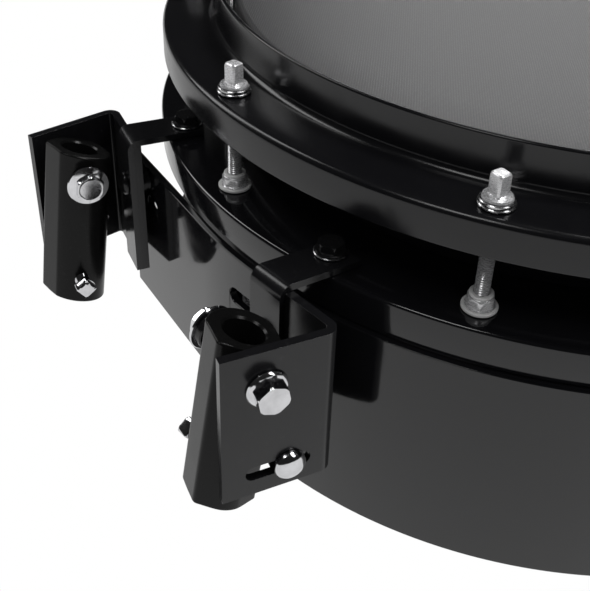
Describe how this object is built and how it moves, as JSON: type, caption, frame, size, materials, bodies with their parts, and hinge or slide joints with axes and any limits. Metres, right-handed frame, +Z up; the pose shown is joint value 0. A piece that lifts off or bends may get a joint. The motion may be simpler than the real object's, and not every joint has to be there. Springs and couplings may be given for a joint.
{
  "type": "marching snare drum",
  "caption": "Shallow black marching snare drum with flanged hoops, a free floating lug ring, long tension rods, a guard plate and two tilting carrier sockets.",
  "frame": {"origin": "middle of the batter head's top face, on the drum's axis", "axes": "+Z up along the drum's axis, -Y towards the player, +X to the side"},
  "size_m": [0.43, 0.4844, 0.183],
  "materials": {
    "gloss_black": "gloss black lacquer",
    "satin_black": "satin black powder coat",
    "chrome": "bright chrome plate",
    "head_film": "black film with a fine woven texture"
  },
  "bodies": {
    "drum": {"batter_flesh_hoop": "chrome", "batter_head": "head_film", "batter_hoop": "satin_black", "batter_rod_1": "chrome", "batter_rod_10": "chrome", "batter_rod_2": "chrome", "batter_rod_3": "chrome", "batter_rod_4": "chrome", "batter_rod_5": "chrome", "batter_rod_6": "chrome", "batter_rod_7": "chrome", "batter_rod_8": "chrome", "batter_rod_9": "chrome", "butt_plate": "chrome", "guard_plate": "gloss_black", "left_bracket": "satin_black", "left_bracket_bolt": "satin_black", "left_guard_bolt": "satin_black", "left_pivot_bolt": "chrome", "lug_nut_1": "chrome", "lug_nut_10": "chrome", "lug_nut_2": "chrome", "lug_nut_3": "chrome", "lug_nut_4": "chrome", "lug_nut_5": "chrome", "lug_nut_6": "chrome", "lug_nut_7": "chrome", "lug_nut_8": "chrome", "lug_nut_9": "chrome", "lug_ring": "gloss_black", "right_bracket": "satin_black", "right_bracket_bolt": "satin_black", "right_guard_bolt": "satin_black", "right_pivot_bolt": "chrome", "shell": "gloss_black", "snare_flesh_hoop": "chrome", "snare_head": "head_film", "snare_hoop": "satin_black", "snare_rod_1": "chrome", "snare_rod_10": "chrome", "snare_rod_2": "chrome", "snare_rod_3": "chrome", "snare_rod_4": "chrome", "snare_rod_5": "chrome", "snare_rod_6": "chrome", "snare_rod_7": "chrome", "snare_rod_8": "chrome", "snare_rod_9": "chrome", "snares": "chrome", "strainer_base": "chrome"},
    "left_tilt": {"left_socket": "satin_black", "left_rear_bolt": "chrome"},
    "left_slide": {"left_slot_bolt": "chrome"},
    "left_screw": {"left_set_screw": "chrome"},
    "right_tilt": {"right_socket": "satin_black", "right_rear_bolt": "chrome"},
    "right_slide": {"right_slot_bolt": "chrome"},
    "right_screw": {"right_set_screw": "chrome"},
    "lever": {"throw_off_lever": "chrome"},
    "knob": {"tension_knob": "chrome"}
  },
  "joints": [
    {"name": "left_socket_tilt", "type": "hinge", "parent": "drum", "child": "left_tilt", "pos_m": [-0.0844, -0.24607, -0.0718], "axis": [-0.9816, -0.1908, 0], "range_deg": [-5, 8]},
    {"name": "left_bolt_slide", "type": "slide", "parent": "drum", "child": "left_slide", "axis": [0.1908, -0.9816, 0], "range_m": [-0.0045, 0.0065]},
    {"name": "left_screw_turn", "type": "hinge", "parent": "left_tilt", "child": "left_screw", "pos_m": [-0.05421, -0.25566, -0.12111], "axis": [0.9919, -0.1186, 0.0451], "range_deg": [-180, 180]},
    {"name": "right_socket_tilt", "type": "hinge", "parent": "drum", "child": "right_tilt", "pos_m": [0.09674, -0.24149, -0.0718], "axis": [-0.99, 0.1409, 0], "range_deg": [-5, 8]},
    {"name": "right_bolt_slide", "type": "slide", "parent": "drum", "child": "right_slide", "axis": [-0.1409, -0.99, 0], "range_m": [-0.0045, 0.0065]},
    {"name": "right_screw_turn", "type": "hinge", "parent": "right_tilt", "child": "right_screw", "pos_m": [0.06707, -0.25259, -0.12111], "axis": [-0.9846, -0.1686, 0.0451], "range_deg": [-180, 180]},
    {"name": "throw_off_swing", "type": "hinge", "parent": "drum", "child": "lever", "pos_m": [-0.1911, 0, -0.081], "axis": [0, 1, 0], "range_deg": [0, 80]},
    {"name": "tension_knob_turn", "type": "hinge", "parent": "drum", "child": "knob", "pos_m": [-0.1951, 0, -0.121], "axis": [0, 0, 1], "continuous": true}
  ],
  "couplings": [
    {"joint": "left_bolt_slide", "follows": "left_socket_tilt", "m_per_rad": 0.0415},
    {"joint": "right_bolt_slide", "follows": "right_socket_tilt", "m_per_rad": 0.0415}
  ]
}
